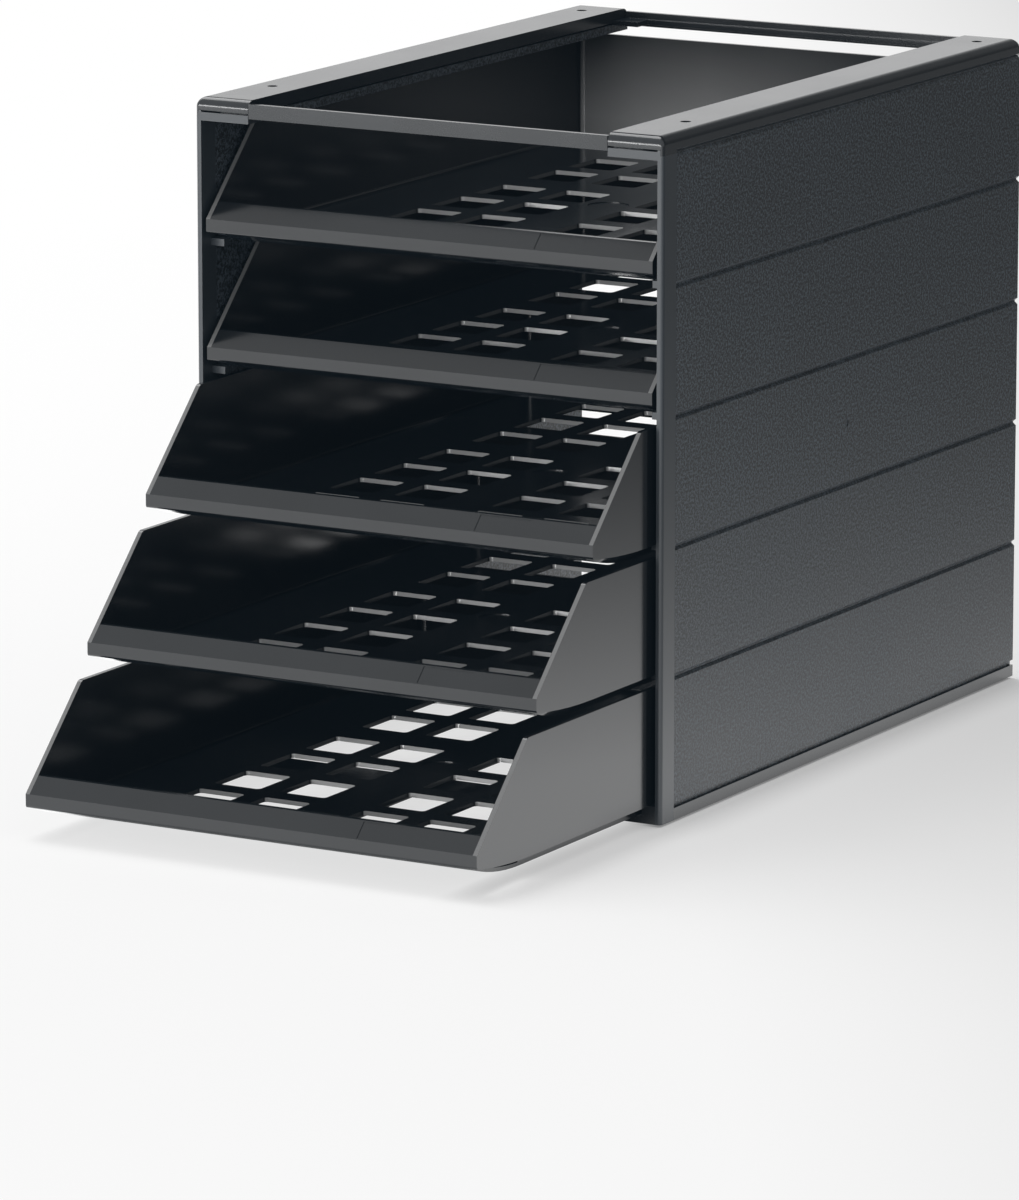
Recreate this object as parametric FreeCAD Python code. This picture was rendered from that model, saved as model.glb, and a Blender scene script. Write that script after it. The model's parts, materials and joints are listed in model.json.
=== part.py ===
"""Letter tray stack: two ribbed side panels, rails and cross bars carry five open trays that slide out.

Frame: +X to the right seen from the front, +Y to the rear, +Z up.
Origin: centre of the four-foot pattern, on the surface that the stack stands on.
All sizes are millimetres. The trays are drawn where they stand: two closed, three pulled out in steps.
"""
import FreeCAD
import Part
import math
import os
from FreeCAD import Vector

# ---------------------------------------------------------------- housing, overall
HOUSING_WIDTH = 250.0          # over the side panels
REAR_MARGIN = 4.7              # from the rear stops to the rear edge of the panels
RAIL_RISE = 7.0                # top face of the rails above the panels' top flange
FOOT_PROUD = 1.2               # how far the feet stand out below the base rails
FOOT_FRONT_INSET = 46.5        # foot and socket centre behind the front face
FOOT_REAR_INSET = 20.5         # foot and socket centre ahead of the rear face
FOOT_SIDE_INSET = 14.0         # foot and socket centre inside the outer face

# ---------------------------------------------------------------- trays, overall
TRAY_COUNT = 5
TRAY_PITCH = 61.0              # level to level
TRAY_LENGTH = 357.0
TRAY_SIDE_GAP = 2.4            # between a tray's wall and the panel
TRAY_WALL = 2.2
TRAY_WALL_HEIGHT = 55.1        # from the riding edge to the top edge
FLOOR_THICKNESS = 2.0
SKIRT_DROP = 5.3               # rib frame below the riding edge
SKIRT_INSET = 5.0              # rib frame inside the tray's outer wall
SKIRT_THICKNESS = 2.0
SKIRT_LEAN = 1.4               # how far the rib frame's outer face leans in at its lower edge
THIRD_TRAY_OUT = 55.0          # how far the lower trays stand out; the upper two are closed
FOURTH_TRAY_OUT = 106.5
LOWEST_TRAY_OUT = 160.0
FULL_TRAVEL = 240.0            # until the ears meet the stop bumps

# ---------------------------------------------------------------- tray front: nose, lip and apron
FRONT_CURVE_LENGTH = 50.0      # the underside curves up over this length
FRONT_CURVE_RISE = 9.4
RIDING_CURVE_RISE = 3.8         # the riding edge curves up less and meets the nose's lower edge
NOSE_ABOVE_RIDING_EDGE = 10.3  # upper edge of the nose above the riding edge
SLANT_RUN = 45.4               # slanted side edge, measured along the tray
LIP_RUN = 7.4                  # slanted lip, measured along the tray
LIP_WALL = 2.0
NOSE_WALL = 2.2
APRON_SKIN = 2.0
NOSE_RADIUS = 1.5
TOP_CORNER_RADIUS = 3.5
REAR_CORNER_RADIUS = 4.0
INNER_CORNER_RADIUS = 3.0
FLOOR_FILLET_RADIUS = 2.0

# ---------------------------------------------------------------- tray floor lattice
HOLE_WIDTH = 25.0
HOLE_LENGTH = 29.0
COLUMN_BAR = 10.5              # bar between the two columns of a pair
CENTRE_BAND = 28.0             # solid band between the two pairs
ROW_PITCH = 41.0
FIRST_ROW = 49.5               # front edge of the first row behind the nose
FRONT_ROWS = 4
CROSS_BAND = 23.0              # solid band between the two groups of rows
REAR_BAND = 19.0               # least solid band ahead of the tray's rear face
APRON_RIB_SETBACK = 1.0        # cross rib ahead of the first row
GATE_FROM_NOSE = 173.0
GATE_RADIUS = 10.0
GATE_DEPTH = 0.4
CENTRE_RIB_SPACING = 18.0
CENTRE_RIB_THICKNESS = 1.5
CENTRE_RIB_DROP = 3.0

# ---------------------------------------------------------------- stop ears and bare label field
EAR_PROUD = 1.9
EAR_LENGTH = 8.0
EAR_ABOVE_RIDING_EDGE = 1.0
EAR_HEIGHT = 5.0
LABEL_FROM_CENTRE = 57.0
LABEL_WIDTH = 27.0
LABEL_MARGIN = 0.6             # left free along the lip's upper and lower edge
LABEL_DEPTH = 0.3

# ---------------------------------------------------------------- side panels
PANEL_WALL = 3.1
BASE_BAND_TOP = 6.9            # upper edge of the base rail's band
BASE_GAP = 2.5                 # open groove between the base band and the panel's lower edge
GROOVE_WIDTH = 3.2
GROOVE_FLOOR = 0.6
GROOVE_DEPTH = 1.5
TOP_GROOVE_DEPTH = 1.1         # the groove that hides the seam under the top rail
FRONT_STRIP = 12.5             # the grooves stop at this smooth strip along the front edge
FRONT_EDGE_RADIUS = 1.8
TONGUE_THICKNESS = 1.5
TONGUE_HEIGHT = 2.6
GATE_PIP_RADIUS = 2.0
GATE_PIP_DEPTH = 0.3

# ---------------------------------------------------------------- runners and stops on the panels
RIDING_EDGE = 10.2             # riding edge of the lowest tray above the desk
RUNNING_GAP = 0.2              # tray above its runner
SIDE_GAP = 0.4                 # rib frame beside its runner
RUNNER_THICKNESS = 3.4
FLANGE_THICKNESS = 4.0
RUNNER_FRONT_SETBACK = 8.5
STOP_BUMP_SETBACK = 9.0        # behind the runner's front end
STOP_BUMP_PROUD = 2.0
STOP_BUMP_LENGTH = 6.0
STOP_BUMP_HEIGHT = 5.6
STOP_GAP = 0.3
REAR_STOP_PROUD = 5.0
REAR_STOP_LENGTH = 3.0
REAR_STOP_HEIGHT = 9.0

# ---------------------------------------------------------------- top rails
RAIL_WIDTH = 29.0
RAIL_PLATE = 2.8
RAIL_LIP = 2.2
RAIL_LIP_GAP = 0.9             # shadow gap between the rail's inner lip and the flange
RAIL_EDGE_RADIUS = 4.5
RAIL_END_WALL = 2.5
RAIL_BAND = 1.5
RAIL_CORNER_CHAMFER = 2.0
SOCKET_RADIUS = 2.5

# ---------------------------------------------------------------- base rails and feet
BASE_FLANGE_TOP = 4.4
BASE_PLATE = 1.8
BASE_RIM = 2.2
FOOT_RADIUS = 2.2
FOOT_CHAMFER = 0.4
FOOT_SHOULDER = 0.3            # height over which the foot tapers to its stem
STEM_RADIUS = 1.5
STEM_LENGTH = 2.4
STEM_CLEARANCE = 0.05
FOOT_BOSS_SIDE = 9.0           # square boss around each foot's bore

# ---------------------------------------------------------------- cross bars
BAR_END_GAP = 0.2
TOP_BAR_DROP = 1.5             # bar's upper edge below the rails' top face
TOP_BAR_HEIGHT = 7.0
TOP_BAR_WALL = 2.6
TOP_BAR_LEG = 12.0
TOP_BAR_LEG_THICKNESS = 2.3
TOP_BAR_MIDDLE_LEG = 4.5        # the leg is this deep between its two shoulders
TOP_BAR_SHOULDER = 14.0
BOTTOM_BAR_DEPTH = 20.0
BOTTOM_BAR_RIM = 2.0
BOTTOM_BAR_RIBS = 5
BAR_RIB_THICKNESS = 1.5
TONGUE_REACH = 17.0            # how far a bar's tongue lies under or over the rail
BAR_TONGUE_THICKNESS = 2.3
BASE_TONGUE_THICKNESS = 1.2
TONGUE_SIDE_GAP = 0.2
BAR_TONGUE_SETBACK = 3.0
CATCH_SIDE = 4.4               # square catch that holds a tongue
CATCH_CLEARANCE = 0.2
CATCH_FROM_RAIL_EDGE = 10.0    # catch centre outside the rail's inner edge

# ---------------------------------------------------------------- places worked out from the sizes above
HOUSING_DEPTH = TRAY_LENGTH + STOP_GAP + REAR_STOP_LENGTH + REAR_MARGIN
RUNNER_RISE = TRAY_COUNT * TRAY_PITCH
FLANGE_TOP = RIDING_EDGE + RUNNER_RISE - RUNNING_GAP
HOUSING_TOP = FLANGE_TOP + RAIL_RISE
FOOT_PITCH_Y = HOUSING_DEPTH - FOOT_FRONT_INSET - FOOT_REAR_INSET
FRONT = -FOOT_PITCH_Y / 2 - FOOT_FRONT_INSET
REAR = FRONT + HOUSING_DEPTH
OUTER = HOUSING_WIDTH / 2
INNER = OUTER - PANEL_WALL
RAIL_EDGE = OUTER - RAIL_WIDTH
FOOT_X = OUTER - FOOT_SIDE_INSET
FOOT_Y = FOOT_PITCH_Y / 2
LOWEST_SEAM = BASE_BAND_TOP + BASE_GAP / 2
TOP_SEAM = LOWEST_SEAM + RUNNER_RISE
BAND_INNER = OUTER - RAIL_BAND
TRAY_HALF = INNER - TRAY_SIDE_GAP
PULLED_OUT = [0.0, 0.0, THIRD_TRAY_OUT, FOURTH_TRAY_OUT, LOWEST_TRAY_OUT]
SKIRT_HALF = TRAY_HALF - SKIRT_INSET
RUNNER_INNER = SKIRT_HALF + SIDE_GAP
RUNNER_TOP = RIDING_EDGE - RUNNING_GAP
STOP_BUMP_FRONT = FRONT + RUNNER_FRONT_SETBACK + STOP_BUMP_SETBACK
EAR_FROM_NOSE = FULL_TRAVEL + STOP_BUMP_FRONT - FRONT + STOP_BUMP_LENGTH + STOP_GAP
FRONT_CURVE_RADIUS = (FRONT_CURVE_LENGTH**2 + FRONT_CURVE_RISE**2) / (2 * FRONT_CURVE_RISE)
RIDING_CURVE_RADIUS = (FRONT_CURVE_LENGTH**2 + RIDING_CURVE_RISE**2) / (2 * RIDING_CURVE_RISE)
SLANT_ANGLE = math.atan2(TRAY_WALL_HEIGHT - NOSE_ABOVE_RIDING_EDGE, SLANT_RUN)
FAR = 400.0                    # reach of cutting tools beyond the object
OVERCUT = 1.0                  # how far a cutting tool runs past the face it starts from


def box(x_low, x_high, y_low, y_high, z_low, z_high):
    """Axis-aligned block between two corners."""
    size = (x_high - x_low, y_high - y_low, z_high - z_low)
    return Part.makeBox(*size, Vector(x_low, y_low, z_low))


def square(side, x, y, z_low, z_high):
    """Upright square post between two heights."""
    half = side / 2
    return box(x - half, x + half, y - half, y + half, z_low, z_high)


def upright(radius, x, y, z_low, z_high):
    """Upright round pin between two heights."""
    return Part.makeCylinder(radius, z_high - z_low, Vector(x, y, z_low))


def prism_across(points, x_low, x_high):
    """Outline of (y, z) points, pushed along X."""
    corners = [Vector(x_low, y, z) for y, z in points]
    face = Part.Face(Part.makePolygon(corners + corners[:1]))
    return face.extrude(Vector(x_high - x_low, 0, 0))


def prism_along(points, y_low, y_high):
    """Outline of (x, z) points, pushed along Y."""
    corners = [Vector(x, y_low, z) for x, z in points]
    face = Part.Face(Part.makePolygon(corners + corners[:1]))
    return face.extrude(Vector(0, y_high - y_low, 0))


def edges_where(shape, test):
    """Edges whose two ends both pass a test on their position."""
    open_edges = [edge for edge in shape.Edges if len(edge.Vertexes) == 2]
    return [edge for edge in open_edges if all(test(vertex.Point) for vertex in edge.Vertexes)]


def near(value, target):
    """True where two coordinates agree to a micron."""
    return abs(value - target) < 1e-3


def mirrored(shape):
    """The left-hand twin of a right-hand piece."""
    return shape.mirror(Vector(0, 0, 0), Vector(1, 0, 0))


# ================================================================ trays
def front_curve(depth_above_skirt, y):
    """Height of the front curve that runs this far above the rib frame's lower edge."""
    radius = FRONT_CURVE_RADIUS - depth_above_skirt
    reach = max(FRONT_CURVE_LENGTH - y, 0.0)
    return -SKIRT_DROP + FRONT_CURVE_RADIUS - math.sqrt(radius**2 - reach**2)


def front_arc(depth_above_skirt, y_low, y_high, x):
    """Arc of the front curve between two places behind the nose."""
    places = (y_low, (y_low + y_high) / 2, y_high)
    return Part.Arc(*[Vector(x, y, front_curve(depth_above_skirt, y)) for y in places]).toShape()


def profile_across(segments, x_low, x_high):
    """Closed profile of ready edges and straight runs, pushed along X."""
    face = Part.Face(Part.Wire(segments))
    return face.extrude(Vector(x_high - x_low, 0, 0))


def run(x, *points):
    """Straight edges through (y, z) points."""
    corners = [Vector(x, y, z) for y, z in points]
    return [Part.LineSegment(a, b).toShape() for a, b in zip(corners, corners[1:])]


def slant_point(along, depth):
    """(y, z) of a point so far up the slanted lip and so deep inside its face."""
    y = along * math.cos(SLANT_ANGLE) + depth * math.sin(SLANT_ANGLE)
    z = NOSE_ABOVE_RIDING_EDGE + along * math.sin(SLANT_ANGLE) - depth * math.cos(SLANT_ANGLE)
    return y, z


def tray_blank():
    """Solid outline of the tray: curved underside, blunt nose, slanted front edge."""
    x = -TRAY_HALF
    lowest = -SKIRT_DROP
    nose_low = (0.0, front_curve(0.0, 0.0))
    straight = run(x, (FRONT_CURVE_LENGTH, lowest), (TRAY_LENGTH, lowest), (TRAY_LENGTH, TRAY_WALL_HEIGHT),
                   (SLANT_RUN, TRAY_WALL_HEIGHT), (0.0, NOSE_ABOVE_RIDING_EDGE), nose_low)
    blank = profile_across([front_arc(0.0, 0.0, FRONT_CURVE_LENGTH, x)] + straight, x, TRAY_HALF)
    nose = edges_where(blank, lambda p: near(p.y, nose_low[0]) and near(p.z, nose_low[1]))
    corner = edges_where(blank, lambda p: near(p.y, SLANT_RUN) and near(p.z, TRAY_WALL_HEIGHT))
    rear = edges_where(blank, lambda p: near(p.y, TRAY_LENGTH))
    upright_rear = [edge for edge in rear if near(edge.Vertexes[0].X, edge.Vertexes[1].X)]
    blank = blank.makeFillet(REAR_CORNER_RADIUS, upright_rear)
    blank = blank.makeFillet(TOP_CORNER_RADIUS, [match_edge(blank, corner[0])])
    return blank.makeFillet(NOSE_RADIUS, [match_edge(blank, nose[0])])


def match_edge(shape, wanted):
    """The edge of a shape that has the same middle as an earlier edge."""
    middle = wanted.CenterOfMass
    return min(shape.Edges, key=lambda edge: edge.CenterOfMass.distanceToPoint(middle))


def riding_curve(y):
    """Height of the riding edge's front curve this far behind the nose."""
    reach = FRONT_CURVE_LENGTH - y
    return RIDING_CURVE_RADIUS - math.sqrt(RIDING_CURVE_RADIUS**2 - reach**2)


def riding_steps():
    """What is cut away below the side walls, so that the tray rides on its runners."""
    below = -SKIRT_DROP - FAR / 10
    behind = TRAY_LENGTH + OVERCUT
    leaning = [(SKIRT_HALF, 0), (SKIRT_HALF, -SKIRT_DROP), (SKIRT_HALF - SKIRT_LEAN, -SKIRT_DROP)]
    wedge = prism_along(leaning, -OVERCUT, behind)
    tools = [wedge, mirrored(wedge)]
    places = (0.0, FRONT_CURVE_LENGTH / 2, FRONT_CURVE_LENGTH)
    for side in (-1, 1):
        x_low, x_high = sorted((side * SKIRT_HALF, side * (TRAY_HALF + OVERCUT)))
        arc = Part.Arc(*[Vector(x_low, y, riding_curve(y)) for y in places]).toShape()
        straight = run(x_low, (FRONT_CURVE_LENGTH, 0.0), (behind, 0.0), (behind, below), (0.0, below),
                       (0.0, riding_curve(0.0)))
        tools.append(profile_across([arc] + straight, x_low, x_high))
    return tools


def tray_cavity():
    """The space inside: lip pocket, curved apron, flat floor, open at the top and above the slant."""
    half = TRAY_HALF - TRAY_WALL
    x = -half
    crest_height = slant_point(LIP_RUN / math.cos(SLANT_ANGLE), 0.0)[1]
    inner_start = slant_point(0.0, LIP_WALL)
    slope = math.tan(SLANT_ANGLE)
    crest_inner = (inner_start[0] + (crest_height - inner_start[1]) / slope, crest_height)
    pocket_top = (NOSE_WALL, inner_start[1] + (NOSE_WALL - inner_start[0]) * slope)
    pocket_floor = (NOSE_WALL, front_curve(APRON_SKIN, NOSE_WALL))
    rib_front = FIRST_ROW - APRON_RIB_SETBACK - SKIRT_THICKNESS
    apron_end = (rib_front, front_curve(APRON_SKIN, rib_front))
    inner_rear = TRAY_LENGTH - TRAY_WALL
    arc = front_arc(APRON_SKIN, NOSE_WALL, rib_front, x)
    straight = run(x, apron_end, (rib_front, FLOOR_THICKNESS), (inner_rear, FLOOR_THICKNESS),
                   (inner_rear, FAR), (-FAR, FAR), (-FAR, crest_height), crest_inner, pocket_top,
                   pocket_floor)
    cavity = profile_across([arc] + straight, x, half)
    rear = edges_where(cavity, lambda p: near(p.y, inner_rear))
    upright_rear = [edge for edge in rear if near(edge.Vertexes[0].X, edge.Vertexes[1].X)]
    cavity = cavity.makeFillet(INNER_CORNER_RADIUS, upright_rear)
    floor_edges = edges_where(cavity, lambda p: near(p.z, FLOOR_THICKNESS))
    lengthwise = [edge for edge in floor_edges if near(abs(edge.CenterOfMass.x), half)]
    return cavity.makeFillet(FLOOR_FILLET_RADIUS, lengthwise)


def hole_columns():
    """Left edges of the four columns of floor holes."""
    inner = CENTRE_BAND / 2
    outer = inner + HOLE_WIDTH + COLUMN_BAR
    return [-outer - HOLE_WIDTH, -inner - HOLE_WIDTH, inner, outer]


def hole_rows():
    """Front edges of the rows of floor holes, in two groups."""
    first = [FIRST_ROW + ROW_PITCH * i for i in range(FRONT_ROWS)]
    second_start = first[-1] + HOLE_LENGTH + CROSS_BAND
    room = TRAY_LENGTH - REAR_BAND - second_start - HOLE_LENGTH
    return first + [second_start + ROW_PITCH * i for i in range(int(room // ROW_PITCH) + 1)]


def floor_cuts():
    """Hollow under the floor, lattice holes and the shallow gate dimple."""
    half = SKIRT_HALF - SKIRT_THICKNESS
    below = -SKIRT_DROP - OVERCUT
    start = FIRST_ROW - APRON_RIB_SETBACK
    hollow = box(-half, half, start, TRAY_LENGTH - SKIRT_THICKNESS, below, 0.0)
    for side in (-1, 1):
        middle = side * CENTRE_RIB_SPACING / 2
        thick = CENTRE_RIB_THICKNESS / 2
        hollow = hollow.cut(box(middle - thick, middle + thick, start, TRAY_LENGTH, -CENTRE_RIB_DROP, 0.0))
    holes = [box(x, x + HOLE_WIDTH, y, y + HOLE_LENGTH, below, FLOOR_THICKNESS + OVERCUT)
             for x in hole_columns() for y in hole_rows()]
    dimple = upright(GATE_RADIUS, 0, GATE_FROM_NOSE, FLOOR_THICKNESS - GATE_DEPTH, FLOOR_THICKNESS + OVERCUT)
    return [hollow, dimple] + holes


def stop_ears():
    """Ears on both side walls that meet the stop bumps at full travel."""
    low = EAR_ABOVE_RIDING_EDGE
    ear = box(TRAY_HALF - TRAY_WALL / 2, TRAY_HALF + EAR_PROUD, EAR_FROM_NOSE, EAR_FROM_NOSE + EAR_LENGTH,
              low, low + EAR_HEIGHT)
    return [ear, mirrored(ear)]


def label_field():
    """Cutting tool for the shallow bare field in the slanted face of the lip."""
    low = LABEL_MARGIN
    high = LIP_RUN / math.cos(SLANT_ANGLE) - LABEL_MARGIN
    outside = -LABEL_DEPTH
    corners = [slant_point(low, outside), slant_point(high, outside),
               slant_point(high, LABEL_DEPTH), slant_point(low, LABEL_DEPTH)]
    return prism_across(corners, LABEL_FROM_CENTRE, LABEL_FROM_CENTRE + LABEL_WIDTH)


def make_tray():
    """One tray, nose at y = 0 and riding edge at z = 0."""
    tray = tray_blank()
    tray = tray.cut(riding_steps())
    tray = tray.cut([tray_cavity()] + floor_cuts())
    tray = tray.fuse(stop_ears())
    tray = tray.cut(label_field())
    return tray.removeSplitter()


# ================================================================ housing
def level(index):
    """Riding edge height of a level, counted from the lowest tray."""
    return RIDING_EDGE + TRAY_PITCH * index


def seam_groove(z, depth):
    """V-shaped groove along a side panel's outer face, behind the smooth front strip."""
    half = GROOVE_WIDTH / 2
    floor_half = GROOVE_FLOOR / 2
    bottom = OUTER - depth
    outline = [(OUTER + OVERCUT, z - half), (OUTER + OVERCUT, z + half), (OUTER, z + half),
               (bottom, z + floor_half), (bottom, z - floor_half), (OUTER, z - half)]
    return prism_along(outline, FRONT + FRONT_STRIP, REAR + OVERCUT)


def panel_wall():
    """The panel's wall; its front strip reaches down beside the base rail and is rounded at the front."""
    lower_edge = BASE_BAND_TOP + BASE_GAP
    wall = box(INNER, OUTER, FRONT, REAR, lower_edge, TOP_SEAM)
    wall = wall.fuse(box(INNER, OUTER, FRONT, FRONT + FRONT_STRIP, FOOT_PROUD, lower_edge)).removeSplitter()
    front_edge = edges_where(wall, lambda p: near(p.x, OUTER) and near(p.y, FRONT))
    return wall.makeFillet(FRONT_EDGE_RADIUS, front_edge)


def make_side_panel():
    """Right side panel with its runners, stops, top flange and seam grooves."""
    tongue_outer = INNER + TONGUE_THICKNESS
    tongue_top = box(INNER, tongue_outer, FRONT, REAR, TOP_SEAM, TOP_SEAM + TONGUE_HEIGHT)
    tongue_base = box(INNER, tongue_outer, FRONT, REAR, BASE_FLANGE_TOP, BASE_BAND_TOP + BASE_GAP)
    flange = box(RAIL_EDGE, INNER, FRONT, REAR, FLANGE_TOP - FLANGE_THICKNESS, FLANGE_TOP)
    pieces = [tongue_top, tongue_base, flange]
    for y_low, y_high in top_tongue_places():
        pieces.append(square(CATCH_SIDE, RAIL_EDGE + CATCH_FROM_RAIL_EDGE, (y_low + y_high) / 2,
                             FLANGE_TOP, FLANGE_TOP + BAR_TONGUE_THICKNESS))
    runner_front = FRONT + RUNNER_FRONT_SETBACK
    bump_rear = STOP_BUMP_FRONT + STOP_BUMP_LENGTH
    stop_front = FRONT + TRAY_LENGTH + STOP_GAP
    stop_rear = stop_front + REAR_STOP_LENGTH
    for index in range(TRAY_COUNT):
        top = level(index) - RUNNING_GAP
        pieces.append(box(RUNNER_INNER, INNER, runner_front, REAR, top - RUNNER_THICKNESS, top))
        pieces.append(box(INNER - STOP_BUMP_PROUD, INNER, STOP_BUMP_FRONT, bump_rear,
                          top, top + STOP_BUMP_HEIGHT))
        pieces.append(box(INNER - REAR_STOP_PROUD, INNER, stop_front, stop_rear,
                          top, top + REAR_STOP_HEIGHT))
    panel = panel_wall().fuse(pieces)
    middle = Vector(OUTER - GATE_PIP_DEPTH, (FRONT + REAR) / 2, (BASE_BAND_TOP + TOP_SEAM) / 2)
    pip = Part.makeCylinder(GATE_PIP_RADIUS, OVERCUT, middle, Vector(1, 0, 0))
    grooves = [seam_groove(LOWEST_SEAM + TRAY_PITCH * i, GROOVE_DEPTH) for i in range(1, TRAY_COUNT)]
    grooves.append(seam_groove(TOP_SEAM, TOP_GROOVE_DEPTH))
    return panel.cut([pip] + grooves).removeSplitter()


def make_top_rail():
    """Right top rail: rounded cap over the panel, with stacking sockets and slots for the bars' tongues."""
    rail = box(RAIL_EDGE, OUTER, FRONT, REAR, TOP_SEAM, HOUSING_TOP)
    corners = [edge for edge in edges_where(rail, lambda p: near(p.x, OUTER))
               if near(edge.CenterOfMass.y, FRONT) or near(edge.CenterOfMass.y, REAR)]
    rail = rail.makeFillet(FRONT_EDGE_RADIUS, corners)
    rim = [edge for edge in edges_where(rail, lambda p: near(p.z, HOUSING_TOP))
           if not near(edge.CenterOfMass.x, RAIL_EDGE)]
    rail = rail.makeFillet(RAIL_EDGE_RADIUS, rim)
    under = HOUSING_TOP - RAIL_PLATE
    corner = RAIL_CORNER_CHAMFER
    lip_inner = RAIL_EDGE + RAIL_LIP
    outline = [(lip_inner, 0), (lip_inner, under), (BAND_INNER - corner, under),
               (BAND_INNER, under - corner), (BAND_INNER, 0)]
    cavity = prism_along(outline, FRONT + RAIL_END_WALL, REAR - RAIL_END_WALL)
    lip_low = FLANGE_TOP + RAIL_LIP_GAP
    below = box(RAIL_EDGE - OVERCUT, BAND_INNER, FRONT - OVERCUT, REAR + OVERCUT, 0, lip_low)
    cuts = [cavity, below, seam_groove(TOP_SEAM, TOP_GROOVE_DEPTH)]
    for y_low, y_high in top_tongue_places():
        cuts.append(box(RAIL_EDGE - OVERCUT, lip_inner + OVERCUT, y_low - TONGUE_SIDE_GAP,
                        y_high + TONGUE_SIDE_GAP, 0, FLANGE_TOP + BAR_TONGUE_THICKNESS + TONGUE_SIDE_GAP))
    for y in (-FOOT_Y, FOOT_Y):
        cuts.append(upright(SOCKET_RADIUS, FOOT_X, y, under - OVERCUT, HOUSING_TOP + OVERCUT))
    return rail.cut(cuts).removeSplitter()


def make_base_rail():
    """Right base rail: base band, flange with foot bosses and catches for the bars' tongues."""
    rail = box(RAIL_EDGE, OUTER, FRONT, REAR, FOOT_PROUD, BASE_BAND_TOP)
    notch = box(INNER, OUTER + OVERCUT, FRONT - OVERCUT, FRONT + FRONT_STRIP, 0, BASE_BAND_TOP + OVERCUT)
    above = box(RAIL_EDGE - OVERCUT, BAND_INNER, FRONT - OVERCUT, REAR + OVERCUT,
                BASE_FLANGE_TOP, BASE_BAND_TOP + OVERCUT)
    plate_low = BASE_FLANGE_TOP - BASE_PLATE
    hollow = box(RAIL_EDGE + BASE_RIM, BAND_INNER, FRONT + BASE_RIM, REAR - BASE_RIM, 0, plate_low)
    rail = rail.cut([notch, above, hollow])
    corner = box(RUNNER_INNER, INNER, FRONT, FRONT + RUNNER_FRONT_SETBACK - TONGUE_SIDE_GAP,
                 BASE_FLANGE_TOP, RUNNER_TOP - RUNNING_GAP)
    bosses = [square(FOOT_BOSS_SIDE, FOOT_X, y, FOOT_PROUD, BASE_FLANGE_TOP) for y in (-FOOT_Y, FOOT_Y)]
    catches = [square(CATCH_SIDE, RAIL_EDGE + CATCH_FROM_RAIL_EDGE, (low + high) / 2,
                      plate_low - BASE_TONGUE_THICKNESS, plate_low) for low, high in base_tongue_places()]
    rail = rail.fuse([corner] + bosses + catches)
    bore = STEM_RADIUS + STEM_CLEARANCE
    bores = [upright(bore, FOOT_X, y, 0, FOOT_PROUD + STEM_LENGTH) for y in (-FOOT_Y, FOOT_Y)]
    slots = [box(RAIL_EDGE - OVERCUT, RAIL_EDGE + BASE_RIM + OVERCUT, low - TONGUE_SIDE_GAP,
                 high + TONGUE_SIDE_GAP, 0, plate_low) for low, high in base_tongue_places()]
    return rail.cut(bores + slots).removeSplitter()


def top_tongue_places():
    """(front, rear) reach along Y of the top bars' tongues."""
    length = TOP_BAR_LEG
    setback = BAR_TONGUE_SETBACK
    return [(FRONT + setback, FRONT + setback + length), (REAR - setback - length, REAR - setback)]


def base_tongue_places():
    """(front, rear) reach along Y of the bottom bars' tongues."""
    setback = BOTTOM_BAR_RIM + BAR_TONGUE_SETBACK
    length = BOTTOM_BAR_DEPTH - 2 * setback
    return [(FRONT + setback, FRONT + setback + length), (REAR - setback - length, REAR - setback)]


def tongues(place, z_low, thickness, root):
    """A bar's two end tongues, each with the hole for its catch."""
    y_low, y_high = place
    reach = RAIL_EDGE + TONGUE_REACH
    pieces = []
    for side in (-1, 1):
        x_low, x_high = sorted((side * (RAIL_EDGE - root), side * reach))
        tongue = box(x_low, x_high, y_low, y_high, z_low, z_low + thickness)
        catch_x = side * (RAIL_EDGE + CATCH_FROM_RAIL_EDGE)
        hole = square(CATCH_SIDE + 2 * CATCH_CLEARANCE, catch_x, (y_low + y_high) / 2,
                      z_low - OVERCUT, z_low + thickness + OVERCUT)
        pieces.append(tongue.cut(hole))
    return pieces


def make_top_bar(at_front):
    """Top cross bar: an angle section between the rails, hooked under them by two tongues."""
    half = RAIL_EDGE - BAR_END_GAP
    high = HOUSING_TOP - TOP_BAR_DROP
    low = high - TOP_BAR_HEIGHT
    place = top_tongue_places()[0 if at_front else 1]
    outer = FRONT if at_front else REAR
    inward = 1 if at_front else -1
    wall = box(-half, half, *sorted((outer, outer + inward * TOP_BAR_WALL)), low, high)
    leg_end = outer + inward * (TOP_BAR_LEG + BAR_TONGUE_SETBACK)
    leg_high = FLANGE_TOP + BAR_TONGUE_THICKNESS
    leg_low = leg_high - TOP_BAR_LEG_THICKNESS - BAR_END_GAP
    leg = box(-half, half, *sorted((outer, leg_end)), leg_low, leg_high)
    middle = half - TOP_BAR_SHOULDER
    middle_end = outer + inward * TOP_BAR_MIDDLE_LEG
    leg = leg.cut(box(-middle, middle, *sorted((middle_end, leg_end + inward * OVERCUT)), 0, HOUSING_TOP))
    return wall.fuse([leg] + tongues(place, FLANGE_TOP, BAR_TONGUE_THICKNESS, RAIL_LIP)).removeSplitter()


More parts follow.
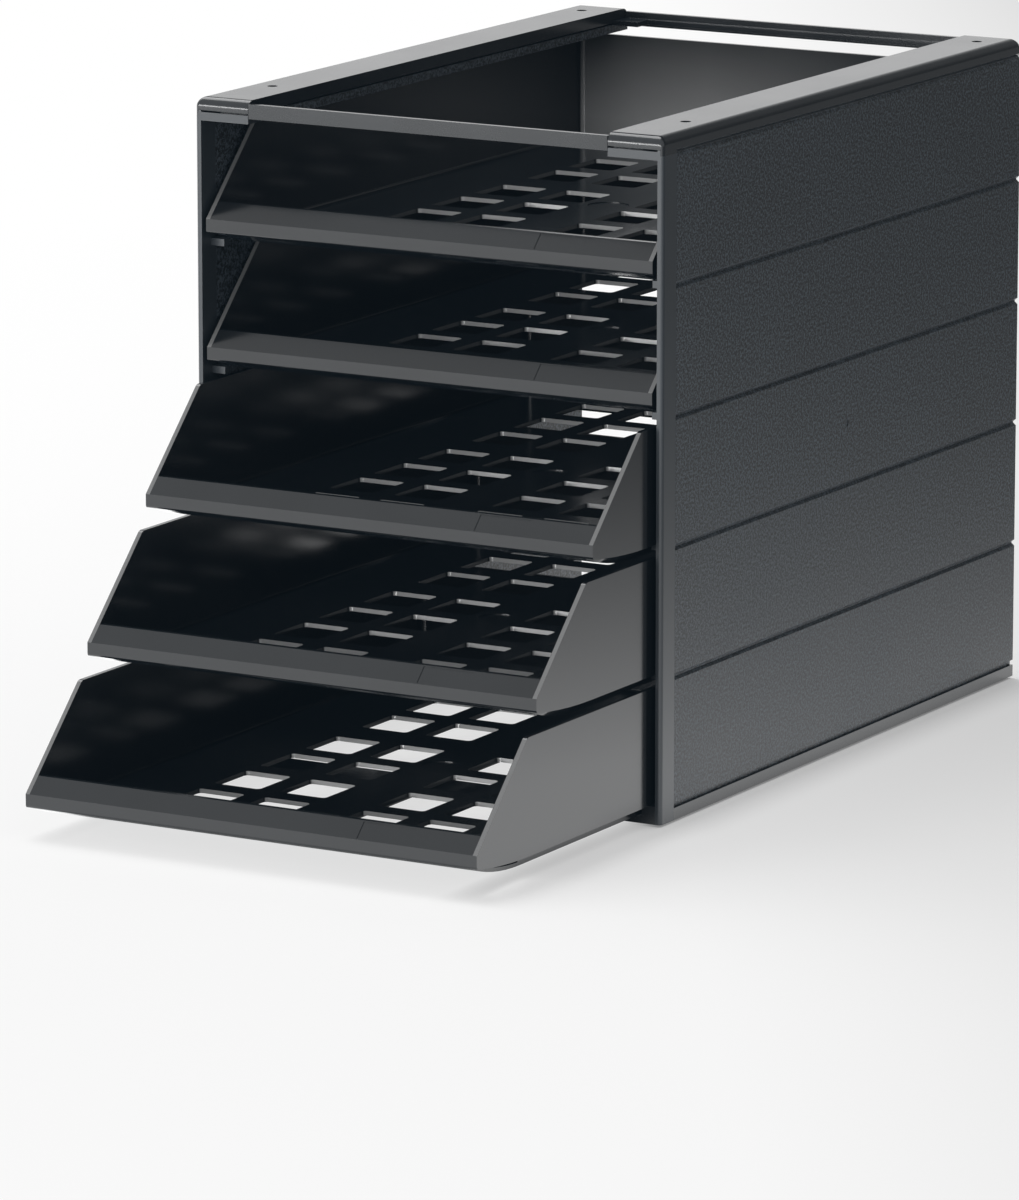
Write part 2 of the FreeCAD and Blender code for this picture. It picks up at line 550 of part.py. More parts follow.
def make_bottom_bar(at_front):
    """Bottom cross bar: a shallow ribbed channel, hooked under the base rails by two tongues."""
    half = RAIL_EDGE - BAR_END_GAP
    y_low = FRONT if at_front else REAR - BOTTOM_BAR_DEPTH
    y_high = y_low + BOTTOM_BAR_DEPTH
    bar = box(-half, half, y_low, y_high, FOOT_PROUD, BASE_FLANGE_TOP)
    inner_half = half - BOTTOM_BAR_RIM
    cell = (2 * inner_half - BOTTOM_BAR_RIBS * BAR_RIB_THICKNESS) / (BOTTOM_BAR_RIBS + 1)
    plate_low = BASE_FLANGE_TOP - BASE_PLATE
    cells = []
    for index in range(BOTTOM_BAR_RIBS + 1):
        start = -inner_half + index * (cell + BAR_RIB_THICKNESS)
        cells.append(box(start, start + cell, y_low + BOTTOM_BAR_RIM, y_high - BOTTOM_BAR_RIM, 0, plate_low))
    place = base_tongue_places()[0 if at_front else 1]
    low = plate_low - BASE_TONGUE_THICKNESS
    return bar.cut(cells).fuse(tongues(place, low, BASE_TONGUE_THICKNESS, BASE_RIM)).removeSplitter()


def make_foot():
    """Round rubber foot with a tapered shoulder; its stem is pushed into a bore in the base rail."""
    outline = [(0, 0), (FOOT_RADIUS - FOOT_CHAMFER, 0), (FOOT_RADIUS, FOOT_CHAMFER),
               (FOOT_RADIUS, FOOT_PROUD - FOOT_SHOULDER), (STEM_RADIUS, FOOT_PROUD),
               (STEM_RADIUS, FOOT_PROUD + STEM_LENGTH), (0, FOOT_PROUD + STEM_LENGTH)]
    corners = [Vector(x, 0, z) for x, z in outline]
    face = Part.Face(Part.makePolygon(corners + corners[:1]))
    return face.revolve(Vector(0, 0, 0), Vector(0, 0, 1), 360)


def placed(shape, x, y, z):
    """A copy of a shape, moved."""
    copy = shape.copy()
    copy.translate(Vector(x, y, z))
    return copy


def build():
    """Every node by name, at its place."""
    nodes = {}
    pairs = {"side_panel": make_side_panel(), "top_rail": make_top_rail(), "base_rail": make_base_rail()}
    for name, shape in pairs.items():
        nodes[f"{name}_right"] = shape
        nodes[f"{name}_left"] = mirrored(shape)
    for name, at_front in (("front", True), ("rear", False)):
        nodes[f"top_cross_bar_{name}"] = make_top_bar(at_front)
        nodes[f"bottom_cross_bar_{name}"] = make_bottom_bar(at_front)
    tray = make_tray()
    for index, pulled in enumerate(PULLED_OUT):
        nodes[f"tray_{index + 1}"] = placed(tray, 0, FRONT - pulled, level(TRAY_COUNT - 1 - index))
    foot = make_foot()
    for end, y in (("front", -FOOT_Y), ("rear", FOOT_Y)):
        for side, x in (("left", -FOOT_X), ("right", FOOT_X)):
            nodes[f"foot_{end}_{side}"] = placed(foot, x, y, 0)
    return nodes


def main():
    """Write one STEP file for each node."""
    os.makedirs("parts", exist_ok=True)
    for name, shape in build().items():
        shape.exportStep(f"parts/{name}.step")
        print(name, "solids", len(shape.Solids), "valid", shape.isValid(), "volume", round(shape.Volume))


main()
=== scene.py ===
# %% [markdown]
# # Dressing a tower of letter trays
#
# The tower is a set of black plastic mouldings: two grained side panels, smooth rails and cross bars, and
# five trays that slide out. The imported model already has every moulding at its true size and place. This
# lesson adds what a camera sees beyond that: edges softened as a mould leaves them, rounded corners in
# the floor holes, grain, gloss, a white studio and a camera.

import json
import math

import bmesh
import bpy
import numpy as np
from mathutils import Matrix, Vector


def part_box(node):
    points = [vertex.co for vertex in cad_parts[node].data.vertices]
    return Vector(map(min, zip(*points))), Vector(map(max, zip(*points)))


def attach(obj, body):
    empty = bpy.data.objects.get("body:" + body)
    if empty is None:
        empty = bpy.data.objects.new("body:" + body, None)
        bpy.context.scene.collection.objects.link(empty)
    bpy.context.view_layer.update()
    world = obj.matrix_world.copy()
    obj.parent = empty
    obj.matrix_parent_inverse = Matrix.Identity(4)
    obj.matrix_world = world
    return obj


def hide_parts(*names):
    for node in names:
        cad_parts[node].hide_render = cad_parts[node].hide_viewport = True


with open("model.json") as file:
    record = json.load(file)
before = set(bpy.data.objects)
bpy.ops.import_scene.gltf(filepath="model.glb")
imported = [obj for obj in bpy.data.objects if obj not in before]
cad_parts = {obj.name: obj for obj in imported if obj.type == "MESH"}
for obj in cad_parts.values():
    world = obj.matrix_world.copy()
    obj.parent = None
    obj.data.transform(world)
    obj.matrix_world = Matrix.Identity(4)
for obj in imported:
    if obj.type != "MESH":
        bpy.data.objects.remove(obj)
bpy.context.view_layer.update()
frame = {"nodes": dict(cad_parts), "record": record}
nodes = frame["nodes"]
bodies = frame["record"]["behaviour"]["bodies"]
body_of_node = {node: body for body, members in bodies.items() for node in members}
slot_of_node = {part["node"]: part["material_slot"] for part in frame["record"]["subparts"]}
trays = sorted(name for name in nodes if name.startswith("tray_"))

# %% [markdown]
# ## The camera
#
# A product shot like this is taken from far away with a long lens, so that the tower's upright edges stay
# nearly parallel. The camera could be moved by hand until it looks right. Here its place, two angles and
# lens are worked out numbers instead, because then every edge of the model lands where it should and
# nothing else has to be nudged.

# %% Place the camera
AZIMUTH = math.radians(29.82)
ELEVATION = math.radians(12.10)
LENS_MM = 241.85
SENSOR_MM = 36.0
CAMERA_PLACE = (1.8614, -3.3653, 0.8824)
NEAREST_SEEN = 0.1
FARTHEST_SEEN = 60.0

camera_data = bpy.data.cameras.new("studio camera")
camera_data.lens = LENS_MM
camera_data.sensor_width = SENSOR_MM
camera_data.clip_start = NEAREST_SEEN
camera_data.clip_end = FARTHEST_SEEN
camera = bpy.data.objects.new("studio camera", camera_data)
bpy.context.scene.collection.objects.link(camera)
towards_camera = Vector((math.sin(AZIMUTH) * math.cos(ELEVATION),
                         -math.cos(AZIMUTH) * math.cos(ELEVATION),
                         math.sin(ELEVATION)))
camera.location = CAMERA_PLACE
camera.rotation_mode = "QUATERNION"
camera.rotation_quaternion = (-towards_camera).to_track_quat("-Z", "Y")
bpy.context.scene.camera = camera
print("camera", round(camera.location.length, 2), "m away")

# %% [markdown]
# ## Arithmetic for shaders
#
# A finish needs a little arithmetic, such as fading the grain out near an edge. Adding and wiring Math
# nodes by hand hides the formula in twenty lines. One small class holds an output socket and turns plus,
# minus, times and divide into Math nodes, so that a formula reads as a formula. Most masks in this scene
# are one straight slope between two places, so the class has that too.

# %% Wires
def plug(slot, value):
    """Links a wire to an input socket, or sets the socket's own value."""
    if isinstance(value, Wire):
        value.tree.links.new(value.socket, slot)
    else:
        slot.default_value = value


class Wire:
    """One output socket of a shader tree. Arithmetic on it adds Math nodes."""

    def __init__(self, socket):
        self.socket = socket
        self.tree = socket.id_data

    def maths(self, operation, *values):
        """A Math node of this operation on this wire and these values."""
        node = self.tree.nodes.new("ShaderNodeMath")
        node.operation = operation
        for slot, value in zip(node.inputs, (self,) + values):
            plug(slot, value)
        return Wire(node.outputs[0])

    def __add__(self, other):
        return self.maths("ADD", other)

    def __sub__(self, other):
        return self.maths("SUBTRACT", other)

    def __rsub__(self, other):
        return self.maths("MULTIPLY", -1.0).maths("ADD", other)

    def __mul__(self, other):
        return self.maths("MULTIPLY", other)

    def __truediv__(self, other):
        return self.maths("DIVIDE", other)

    __radd__ = __add__
    __rmul__ = __mul__

    def clamped(self):
        """The value held between 0 and 1."""
        return self.maths("MINIMUM", 1.0).maths("MAXIMUM", 0.0)

    def ramp(self, zero_at, one_at):
        """A straight slope from 0 to 1 between two values of this wire, flat outside them."""
        return ((self - zero_at) / (one_at - zero_at)).clamped()


print("wires ready")

# %% [markdown]
# ## Any other node
#
# Everything that isn't arithmetic, such as a noise, a bump or a shader, is made by one method, so that
# each node is a single line with its settings and sockets in view. Short helpers around it cover what
# nearly every finish asks for: a new material, a grey, the parts of a place and a mix of two colours.

# %% Finishes
class Finish:
    """A node tree and the one way that its nodes are made."""

    def __init__(self, tree):
        self.tree = tree
        self.tree.nodes.clear()

    def node(self, kind, settings=None, plugs=None, outlet=0):
        """Makes a shader node, sets its settings, fills its sockets and returns one of its outputs."""
        made = self.tree.nodes.new("ShaderNode" + kind)
        for name, value in (settings or {}).items():
            setattr(made, name, value)
        for name, value in (plugs or {}).items():
            plug(made.inputs[name], value)
        return Wire(made.outputs[outlet]) if made.outputs else None


def new_material(name):
    """A material with an empty node tree, as a pair of the material and its finish."""
    material = bpy.data.materials.new(name)
    material.use_nodes = True
    return material, Finish(material.node_tree)


def grey(level):
    """A grey colour."""
    return (level, level, level, 1.0)


def split(paint, wire):
    """The three parts of a vector wire."""
    parts = paint.tree.nodes.new("ShaderNodeSeparateXYZ")
    plug(parts.inputs[0], wire)
    return [Wire(parts.outputs[i]) for i in range(3)]


def mixed(paint, factor, at_zero, at_one):
    """A colour between two colours, by a factor."""
    return paint.node("Mix", {"data_type": "RGBA"}, {0: factor, 6: at_zero, 7: at_one}, 2)


print("finishes ready")

# %% [markdown]
# ## The floor
#
# The tower stands on a white sweep. A real one curves up behind the object; here one large flat square is
# enough, because the camera looks down on it and the white room closes the picture above.

# %% Lay the floor
FLOOR_HALF = 12.0

floor_mesh = bpy.data.meshes.new("studio floor")
floor_corners = np.array([(-1, -1, 0), (1, -1, 0), (1, 1, 0), (-1, 1, 0)], float) * FLOOR_HALF
floor_mesh.from_pydata(floor_corners.tolist(), [], [(0, 1, 2, 3)])
floor = bpy.data.objects.new("studio floor", floor_mesh)
bpy.context.scene.collection.objects.link(floor)
print("floor", 2 * FLOOR_HALF, "m wide")

# %% [markdown]
# ## The floor's finish
#
# A floor that is only lit white needs so much light that the black plastic would turn grey. So the floor
# answers camera rays with a share of its own white, and keeps the soft shadow in the rest. Its lit grey
# darkens towards the shaded side as painted shade, and under the trays more own white is painted light
# that thins their shadow. Mirror rays get a painted reflection: a tone that is bright beside the tower and
# falls off to the right and behind, lowered under the trays: that is what the side panels show, light at
# the bottom and darker upwards. Where the sky is shut off within a few centimetres, both shares fade, a
# painted contact shadow along the line where tower and floor meet.

# %% Finish the floor
NEAR_TONE = 0.92
PAINTED_SHADE_GREY = 0.2
SHADED_SIDE = (0.86, 0.51)
FAR_FADE = (0.02, 0.86)
MIRRORED_NEAR = 2.2
MIRRORED_FAR = 0.26
CLOSE_FADE = (0.97, 0.12)
MIRRORED_SHARE = 0.85
PAINTED_MIRROR_SHADE_UNDER_TRAYS = 0.8
SEEN_WHITE = 0.62
PAINTED_LIGHT_UNDER_TRAYS = 0.14
WHITE_FADE = (0.3, 2.3)
CONTACT_REACH = 0.03
CONTACT_UNDER_TRAYS = 0.1
BESIDE_FADE = (0.10, 0.13)
TRAYS_SIDE_FADE = (0.13, 0.10)
TRAYS_FRONT_FADE = (-0.40, -0.34)
TRAYS_REAR_FADE = (0.20, 0.17)


def under_trays(x, y):
    """1 on the floor below the trays, with soft borders."""
    between_sides = x.maths("ABSOLUTE").ramp(*TRAYS_SIDE_FADE)
    return between_sides * y.ramp(*TRAYS_FRONT_FADE) * y.ramp(*TRAYS_REAR_FADE)


def floor_finish():
    """White sweep: a lit share that holds the shadow and greys as painted shade towards the shaded side,
    and an own share for camera and mirror rays.
    """
    material, paint = new_material("white sweep")
    x, y, _ = split(paint, paint.node("TexCoord", outlet=3))
    across = x * SHADED_SIDE[0] + y * SHADED_SIDE[1]
    far = across.ramp(*FAR_FADE)
    # Painted shade: the floor's own grey darkens towards the shaded side.
    lit = paint.node("BsdfDiffuse", None, {"Color": mixed(paint, far, grey(NEAR_TONE), grey(PAINTED_SHADE_GREY))})
    ray = paint.tree.nodes.new("ShaderNodeLightPath")
    mirrored, seen = Wire(ray.outputs["Is Glossy Ray"]), Wire(ray.outputs["Is Camera Ray"])
    close = across.ramp(*CLOSE_FADE)
    mirrored_tone = mixed(paint, close * close, grey(MIRRORED_FAR), grey(MIRRORED_NEAR))
    own_tone = mixed(paint, mirrored, grey(1.0), mirrored_tone)
    own = paint.node("Emission", None, {"Color": own_tone, "Strength": 1.0})
    beneath = under_trays(x, y)
    whiteness = (x * x + y * y).ramp(*WHITE_FADE) * (1.0 - SEEN_WHITE) + SEEN_WHITE
    # Painted light: more own white under the trays thins their shadow.
    seen_share = seen * (1.0 - far) * (whiteness + beneath * PAINTED_LIGHT_UNDER_TRAYS)
    # Painted shade in reflections: less own tone under the trays.
    mirrored_share = mirrored * MIRRORED_SHARE * (1.0 - beneath * PAINTED_MIRROR_SHADE_UNDER_TRAYS)
    # Painted contact shadow: the own shares fade where the sky is shut off close by.
    open_to_sky = paint.node("AmbientOcclusion", {"samples": 8}, {"Distance": CONTACT_REACH}, 1)
    beside = x.ramp(*BESIDE_FADE) * (1.0 - CONTACT_UNDER_TRAYS) + CONTACT_UNDER_TRAYS
    contact = (1.0 - open_to_sky) * (seen * beside + mirrored)
    own_share = (seen_share + mirrored_share) * (1.0 - contact)
    surface = paint.node("MixShader", None, {0: own_share, 1: lit, 2: own})
    paint.node("OutputMaterial", None, {"Surface": surface})
    return material


floor_mesh.materials.append(floor_finish())
print("floor finish:", floor_mesh.materials[0].name)

# %% [markdown]
# ## The lamps
#
# Black plastic shows hardly any colour of its own: what shapes it is what it mirrors. A big box above and
# behind makes the upward faces of the rails and trays shine and throws the shadow forward. A long low
# strip in front lights the walls that face the front, down to the small walls of the floor holes. Small
# hard lamps would be simpler, but they leave sharp black shadows inside the trays.

# %% Hang the lamps
def soft_box(name, place, target, width, height, watts):
    """A rectangular lamp that faces a target point."""
    data = bpy.data.lights.new(name, "AREA")
    data.shape = "RECTANGLE"
    data.size = width
    data.size_y = height
    data.energy = watts
    lamp = bpy.data.objects.new(name, data)
    bpy.context.scene.collection.objects.link(lamp)
    lamp.location = place
    aim = Vector(target) - Vector(place)
    lamp.rotation_euler = aim.to_track_quat("-Z", "Y").to_euler()
    return lamp


MIDDLE = (0.0, -0.05, 0.16)
lamps = [
    soft_box("big box above and behind", (-1.46, 0.60, 2.70), MIDDLE, width=1.6, height=2.6, watts=60.0),
    soft_box("long low strip in front", (-0.95, -3.20, 0.52), MIDDLE, width=2.6, height=0.5, watts=60.0),
]
print("lamps:", [lamp.name for lamp in lamps])

# %% [markdown]
# ## The room
#
# The room around is white to the camera. Mirror rays find it graded: bright in front, which the lips
# show, dark high up behind, and bright along the horizon on the left, which runs along the top rails. A
# picture of a real studio could do this, but three slopes on the ray's direction say plainly which wall
# does what.

# %% Paint the room
ROOM_DIFFUSE = 0.40
ROOM_FRONT = 1.0
ROOM_REAR = 0.1
ROOM_HORIZON = 1.0
LEFT_FADE = (0.45, -0.15)
REAR_FADE = (-0.1, 0.4)
LOW_FADE = (0.5, 0.25)

world = bpy.data.worlds.new("white room")
bpy.context.scene.world = world
world.use_nodes = True
room = Finish(world.node_tree)
right, rearward, up = split(room, room.node("TexCoord", outlet=0))
left = right.ramp(*LEFT_FADE)
rear = rearward.ramp(*REAR_FADE)
low = up.ramp(*LOW_FADE)
room_ray = room.tree.nodes.new("ShaderNodeLightPath")
passed_through = Wire(room_ray.outputs["Is Transmission Ray"])
seen_room = (Wire(room_ray.outputs["Is Camera Ray"]) + passed_through).clamped()
behind = mixed(room, left * low, grey(ROOM_REAR), grey(ROOM_HORIZON))
walls = mixed(room, rear, grey(ROOM_FRONT), behind)
unseen = mixed(room, Wire(room_ray.outputs["Is Glossy Ray"]), grey(ROOM_DIFFUSE), walls)
room_tone = mixed(room, seen_room, unseen, grey(1.0))
back = room.node("Background", None, {"Color": room_tone, "Strength": 1.0})
room.node("OutputWorld", None, {"Surface": back})

bpy.context.scene.view_settings.view_transform = "Standard"
print("room:", world.name, "with", len(world.node_tree.nodes), "nodes")

# %% [markdown]
# ## What all the plastics share
#
# All mouldings are the same black plastic; the mould's surface makes the difference. Each finish is built
# from noise on Object coordinates, because those stay put in real size, whatever the piece. A faint bluish
# emission in every plastic, a painted glow and no lamp, keeps the deepest shadows a bluish black.

# %% Share the plastic
PAINTED_GLOW = (0.0024, 0.0040, 0.0056, 1.0)
PLASTIC_IOR = 1.5
BLUISH = (0.8, 1.0, 1.2)
BROAD_SHARE = 0.7


def noise(paint, where, cells, detail=2.0, roughness=0.5):
    """Noise between 0 and 1, so many cells per metre."""
    return paint.node("TexNoise", {"noise_dimensions": "3D"},
                      {"Vector": where, "Scale": cells, "Detail": detail, "Roughness": roughness})


def drift(wire, spread, middle):
    """A noise brought to swing around a middle value."""
    return (wire - 0.5) * spread + middle


def blended(broad, fine):
    """Mostly the broad noise, with some of the fine one."""
    return (broad * BROAD_SHARE + fine * (1.0 - BROAD_SHARE)).clamped()


def shaded(paint, factor, darkest, lightest):
    """A slightly bluish grey between two levels, by a factor."""
    dark, light = [tuple(level * tint for tint in BLUISH) + (1.0,) for level in (darkest, lightest)]
    return mixed(paint, factor, dark, light)


def plastic(paint, colour, roughness, height, strength, depth):
    """Closes a plastic finish: colour and roughness by wires, and a bump of so many metres."""
    bump = paint.node("Bump", None, {"Strength": strength, "Distance": depth, "Height": height})
    surface = paint.node("BsdfPrincipled", None, {
        "Base Color": colour, "Roughness": roughness, "IOR": PLASTIC_IOR, "Normal": bump,
        # Emission: the painted glow that lifts the deepest shadows.
        "Emission Color": PAINTED_GLOW, "Emission Strength": 1.0})
    paint.node("OutputMaterial", None, {"Surface": surface})


finishes = {}
print("veil", PAINTED_GLOW[:3])

# %% [markdown]
# ## Grained side panels
#
# The panels' mould was etched, so they carry a fine sandy grain that breaks up every reflection, up to a
# smooth strip along the front edge. A displacement would give real grains, but at about a millimetre each
# they would need millions of faces. Speckled colour with a shallow bump looks the same from this far.

# %% Mix the panel plastic
PANEL_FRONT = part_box("side_panel_right")[0][1]
SMOOTH_STRIP = 0.0125
STRIP_FADE = 0.0004
SPECKLE = 7.0
CLOUDING = 0.3
MIDDLE_SHADE = 0.35
GRAIN_ROUGHNESS = 0.14


def panel_plastic():
    """Etched panel: sandy grain everywhere behind the smooth front strip."""
    material, paint = new_material("grained black plastic")
    where = paint.node("TexCoord", outlet=3)
    along = split(paint, where)[1]
    strip_end = PANEL_FRONT + SMOOTH_STRIP
    grain_on = along.ramp(strip_end, strip_end + STRIP_FADE)
    sand = noise(paint, where, cells=800.0, detail=3.0, roughness=0.7)
    cloud = noise(paint, where, cells=14.0)
    mottled = (sand - 0.5) * grain_on * SPECKLE + drift(cloud, CLOUDING, MIDDLE_SHADE)
    colour = shaded(paint, mottled.clamped(), darkest=0.0, lightest=0.095)
    roughness = grain_on * GRAIN_ROUGHNESS + drift(cloud, spread=0.06, middle=0.34)
    plastic(paint, colour, roughness, sand * grain_on, strength=0.3, depth=0.0006)
    return material


finishes["panel_plastic"] = panel_plastic()
print("panels:", finishes["panel_plastic"].name)

# %% [markdown]
# ## Satin rails and bars
#
# The rails and bars came from a smoother mould. Their gloss is satin: a low roughness that drifts a
# little from place to place, so that a long reflection isn't ruler straight.

# %% Mix the rail plastic
def rail_plastic():
    """Smooth rails and bars."""
    material, paint = new_material("satin black plastic")
    where = paint.node("TexCoord", outlet=3)
    fine = noise(paint, where, cells=1500.0)
    cloud = noise(paint, where, cells=22.0, detail=3.0)
    colour = shaded(paint, blended(cloud, fine), darkest=0.01, lightest=0.02)
    roughness = drift(cloud, spread=0.1, middle=0.17)
    plastic(paint, colour, roughness, fine, strength=0.12, depth=0.0002)
    return material


finishes["rail_plastic"] = rail_plastic()
print("rails:", finishes["rail_plastic"].name)

# %% [markdown]
# ## Painted highlights on the trays
#
# Some tray surfaces are painted lighter as highlights, where the front light would glint: the hole walls
# that face the front, the slanted edges and the open rear wall of the top tray. Each could be a mesh part
# with a finish of its own. A mask is easier to move: it asks which way the surface faces, how far from the
# middle it lies, and how high above its own tray's floor.

# %% Find the painted highlights
FLOOR_PLATE = 0.0020
FLOOR_ABOVE_BOX = 0.0073
LOWEST_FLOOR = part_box("tray_5")[0][2] + FLOOR_ABOVE_BOX - FLOOR_PLATE
TRAY_PITCH = (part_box("tray_1")[0][2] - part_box("tray_5")[0][2]) / (len(trays) - 1)
TOP_TRAY_FLOOR = LOWEST_FLOOR + (len(trays) - 1) * TRAY_PITCH + FLOOR_PLATE
CENTRE_BAND = 0.028
TRAY_INSIDE = 0.2346
MASK_FADE = 0.0002
BAND_MARGIN = 0.0005
WALL_FOOT = 0.0008
REAR_HIGHLIGHT_CENTRE = -0.065
REAR_HIGHLIGHT_SIDE_FADE = (0.15, 0.02)
REAR_HIGHLIGHT_TO = 0.0608
REAR_HIGHLIGHT_FULL_TO = 0.0108
FRONT_FADE = (-0.5, -0.75)
SLANT_FRONT_FADE = (-0.5, -0.625)
SLANT_UP_FADE = (0.5, 0.625)
SLANT_SHARE = 0.3
REAR_WALL_SHARE = 0.8


def past(wire, place):
    """0 before a place, and 1 from a fifth of a millimetre past it."""
    return wire.ramp(place, place + MASK_FADE)


def rear_wall_highlight(x, y, z):
    """Painted highlight on the top tray's rear wall, brightest low down and left of the middle."""
    on_wall = past(y, 0.0) * past(z, TOP_TRAY_FLOOR + WALL_FOOT)
    sideways = (x - REAR_HIGHLIGHT_CENTRE).maths("ABSOLUTE").ramp(*REAR_HIGHLIGHT_SIDE_FADE)
    downwards = z.ramp(TOP_TRAY_FLOOR + REAR_HIGHLIGHT_TO, TOP_TRAY_FLOOR + REAR_HIGHLIGHT_FULL_TO)
    return on_wall * sideways * downwards


def painted_highlight_mask(paint, where):
    """How much painted highlight a tray's surface gets: hole walls, slanted edges and the top tray's rear
    wall.
    """
    x, y, z = split(paint, where)
    _, rearward, upward = split(paint, paint.node("NewGeometry", outlet=1))
    from_middle = x.maths("ABSOLUTE")
    above_floor = (z - LOWEST_FLOOR).maths("MODULO", TRAY_PITCH)
    facing_front = rearward.ramp(*FRONT_FADE)
    in_plate = past(above_floor, -MASK_FADE / 2) * (1.0 - past(above_floor, FLOOR_PLATE))
    hole_wall = facing_front * in_plate * past(from_middle, CENTRE_BAND / 2 - BAND_MARGIN)
    slanting = rearward.ramp(*SLANT_FRONT_FADE) * upward.ramp(*SLANT_UP_FADE)
    slanted = slanting * past(from_middle, TRAY_INSIDE / 2)
    rear_wall = facing_front * rear_wall_highlight(x, y, z)
    return (hole_wall + slanted * SLANT_SHARE + rear_wall * REAR_WALL_SHARE).clamped()


print("tray floors at", [round(LOWEST_FLOOR + level * TRAY_PITCH, 4) for level in range(len(trays))])

# %% [markdown]
# ## The trays' plastic
#
# The trays have the rails' satin gloss with long soft flow marks, where the melt ran along the mould.
# Stretching the coordinates before the noise draws them along the tray.

# %% Mix the tray plastic
PAINTED_HIGHLIGHT_GREY = 0.5
FLOW_STRETCH = (1.0, 0.35, 1.6)
FINE_IN_BUMP = 0.3
FLOW_IN_BUMP = 0.5


def tray_plastic():
    """Smooth trays with long soft flow marks, and painted highlights where the front light would glint."""
    material, paint = new_material("satin black tray plastic")
    where = paint.node("TexCoord", outlet=3)
    along_flow = paint.node("Mapping", None, {"Vector": where, "Scale": FLOW_STRETCH})
    flow = noise(paint, along_flow, cells=26.0, detail=3.0)
    fine = noise(paint, where, cells=1300.0)
    colour = shaded(paint, blended(flow, fine), darkest=0.006, lightest=0.012)
    # Painted highlights: the masked places are mixed towards a light grey.
    highlighted_colour = mixed(paint, painted_highlight_mask(paint, where), colour, grey(PAINTED_HIGHLIGHT_GREY))
    roughness = drift(flow, spread=0.1, middle=0.155)
    height = fine * FINE_IN_BUMP + flow * FLOW_IN_BUMP
    plastic(paint, highlighted_colour, roughness, height, strength=0.06, depth=0.0003)
    return material


finishes["tray_plastic"] = tray_plastic()
print("trays:", finishes["tray_plastic"].name)

# %% [markdown]
# ## Rubber feet
#
# The feet are dull soft rubber. They need no more than a high roughness and a very fine bump.

# %% Mix the rubber
def foot_rubber():
    """Dull rubber."""
    material, paint = new_material("black rubber")
    where = paint.node("TexCoord", outlet=3)
    fine = noise(paint, where, cells=2000.0)
    colour = shaded(paint, fine, darkest=0.012, lightest=0.022)
    roughness = drift(fine, spread=0.1, middle=0.7)
    plastic(paint, colour, roughness, fine, strength=0.3, depth=0.0002)
    return material


finishes["foot_rubber"] = foot_rubber()
print("finishes", sorted(finishes))

# %% [markdown]
# ## Clean copies to work on
#
# No moulded edge is perfectly sharp, and it is the narrow rounded edge that catches the light and lets a
# black piece read against black. The model's meshes are loose triangles with hard edges, on which no
# bevel works well. So each moulding gets a copy whose corners are merged and whose triangles are joined
# in pairs.

# %% Copy and join
MERGE_WITHIN = 2e-6
FLAT_WITHIN = math.radians(0.6)
ANY_SHAPE = math.radians(180)


def joined_mesh(node, work_on=None):
    """A copy of a moulding's mesh: corners merged, triangles joined in pairs, then worked on."""
    mesh = nodes[node].data.copy()
    work = bmesh.new()
    work.from_mesh(mesh)
    bmesh.ops.remove_doubles(work, verts=work.verts, dist=MERGE_WITHIN)
    work.normal_update()
    bmesh.ops.join_triangles(work, faces=work.faces, angle_face_threshold=FLAT_WITHIN,
                             angle_shape_threshold=ANY_SHAPE)
    count = work_on(work) if work_on else 0
    work.to_mesh(mesh)
    work.free()
    return mesh, count


print("triangles join when they lie within", round(math.degrees(FLAT_WITHIN), 1), "degrees")

# %% [markdown]
# ## The floor holes
#
# A tray's floor holes need more than a soft edge: their walls lean by a small draft, as a mould needs,
# their upright corners are round, and so is the rim on top. A bevel on the whole piece can't tell these
# edges apart, so they are picked out by their height and direction, and each kind is bevelled in the mesh
# by its own width.

# %% Round the holes
HOLE_CORNER = 0.0022
HOLE_RIM = 0.0004
HOLE_DRAFT = 0.0003
CORNER_STEPS = 5
RIM_STEPS = 3
SAME_LEVEL = 1e-5
SAME_PLACE = 1e-6
UPRIGHT_WITHIN = 0.3
LEVEL_FROM = 0.9


def bevel_edges(work, edges, width, segments):
    """Rounds these edges of the mesh."""
    bmesh.ops.bevel(work, geom=edges, offset=width, offset_type="OFFSET", segments=segments, profile=0.5,
                    affect="EDGES", clamp_overlap=True, loop_slide=False)


def hole_corners(work, top):
    """The short upright edges that run through the floor plate."""
    corners = []
    for edge in work.edges:
        a, b = (vert.co for vert in edge.verts)
        upright = abs(a.x - b.x) + abs(a.y - b.y) < SAME_PLACE
        from_top = abs(max(a.z, b.z) - top) < SAME_LEVEL
        if upright and from_top and abs(abs(a.z - b.z) - FLOOR_PLATE) < SAME_LEVEL:
            corners.append(edge)
    return corners


def lean(edge):
    """Pulls an upright corner's lower end towards the hole, so that the walls get their draft."""
    inwards = sum((face.normal for face in edge.link_faces), Vector())
    lower = min(edge.verts, key=lambda vert: vert.co.z)
    lower.co += Vector((inwards.x, inwards.y, 0.0)) * HOLE_DRAFT


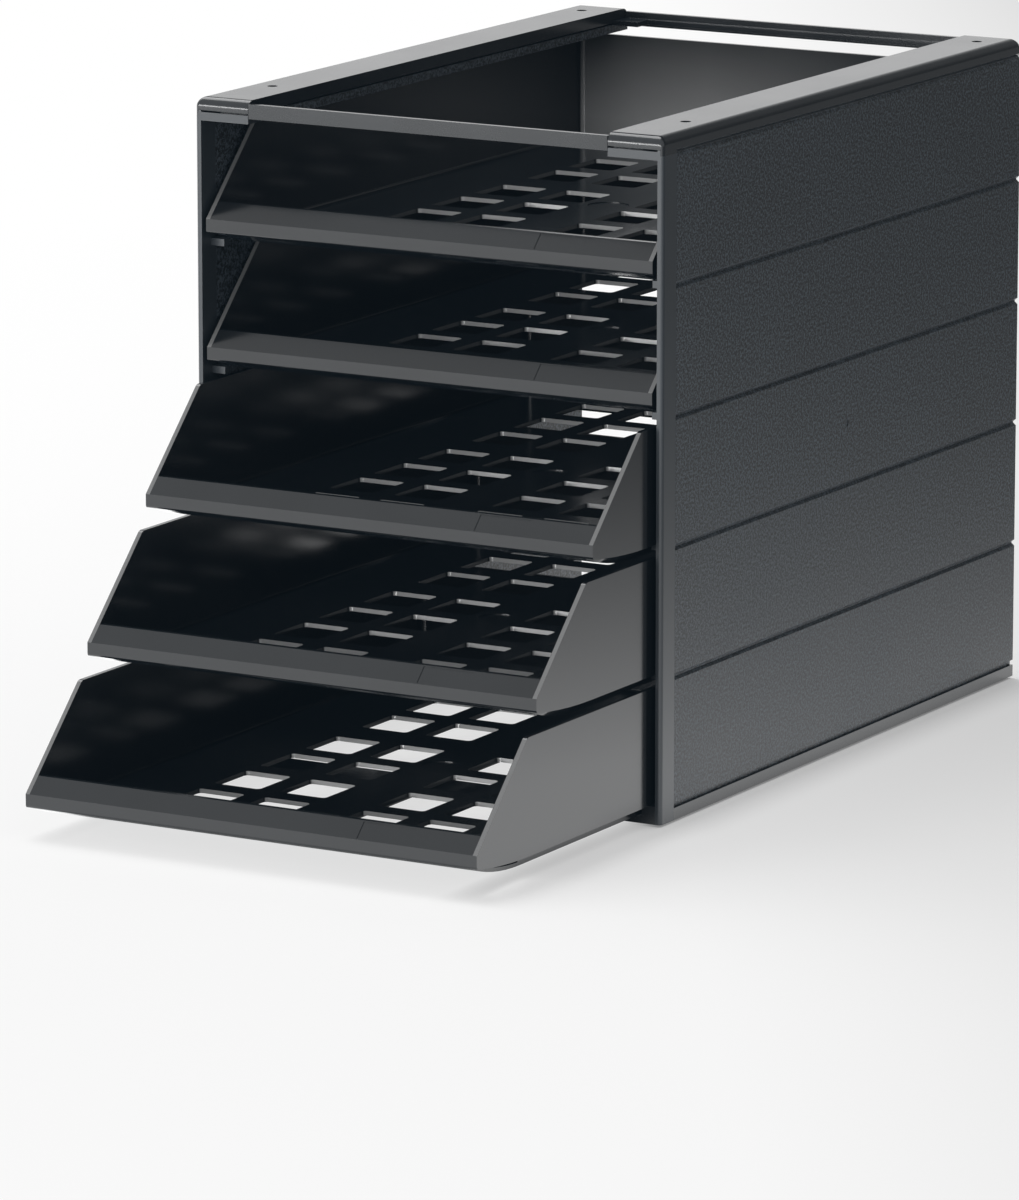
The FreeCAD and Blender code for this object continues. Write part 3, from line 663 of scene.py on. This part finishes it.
def hole_rims(work, top):
    """The level edges where a hole's wall meets the floor."""
    rims = []
    for edge in work.edges:
        level = all(abs(vert.co.z - top) < SAME_LEVEL for vert in edge.verts)
        slopes = sorted(face.normal.z for face in edge.link_faces)
        if level and len(slopes) == 2 and abs(slopes[0]) < UPRIGHT_WITHIN and slopes[1] > LEVEL_FROM:
            rims.append(edge)
    return rims


def round_holes(work):
    """Rounds the floor holes of a tray: first their upright corners, then the rim on top."""
    top = min(vert.co.z for vert in work.verts) + FLOOR_ABOVE_BOX
    corners = hole_corners(work, top)
    for edge in corners:
        lean(edge)
    found = len(corners)
    bevel_edges(work, corners, HOLE_CORNER, CORNER_STEPS)
    work.normal_update()
    bevel_edges(work, hole_rims(work, top), HOLE_RIM, RIM_STEPS)
    return found


print("hole corners of", 1000 * HOLE_CORNER, "mm")

# %% [markdown]
# ## Soft edges everywhere
#
# A Bevel modifier rounds every edge that turns by more than a set angle, and leaves the joined flat faces
# alone. The Weighted Normal modifier after it keeps large faces flat to the eye, so that only the narrow
# bevels shade round.

# %% Soften every moulding
EDGE = 0.00035
EDGE_STEPS = 2
SHARP_FROM = math.radians(35)


def round_over(piece):
    """Adds a bevel that rounds every sharp edge, and keeps the flat faces flat to the eye."""
    bevel = piece.modifiers.new("soft edges", "BEVEL")
    bevel.width = EDGE
    bevel.segments = EDGE_STEPS
    bevel.limit_method = "ANGLE"
    bevel.angle_limit = SHARP_FROM
    bevel.use_clamp_overlap = True
    bevel.miter_outer = "MITER_ARC"
    flat = piece.modifiers.new("flat faces stay flat", "WEIGHTED_NORMAL")
    flat.weight = 100
    flat.keep_sharp = False


def soft_moulding(node):
    """Stands a rounded copy in for a moulding, on the same body and with its finish."""
    mesh, corners = joined_mesh(node, round_holes if node in trays else None)
    mesh.polygons.foreach_set("use_smooth", np.ones(len(mesh.polygons), dtype=bool))
    mesh.materials.clear()
    mesh.materials.append(finishes[slot_of_node[node]])
    piece = bpy.data.objects.new(node + "_moulding", mesh)
    bpy.context.scene.collection.objects.link(piece)
    round_over(piece)
    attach(piece, body_of_node[node])
    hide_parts(node)
    return piece, corners


for node in sorted(nodes):
    piece, corners = soft_moulding(node)
    print(piece.name, len(piece.data.polygons), "flat faces", corners, "hole corners")
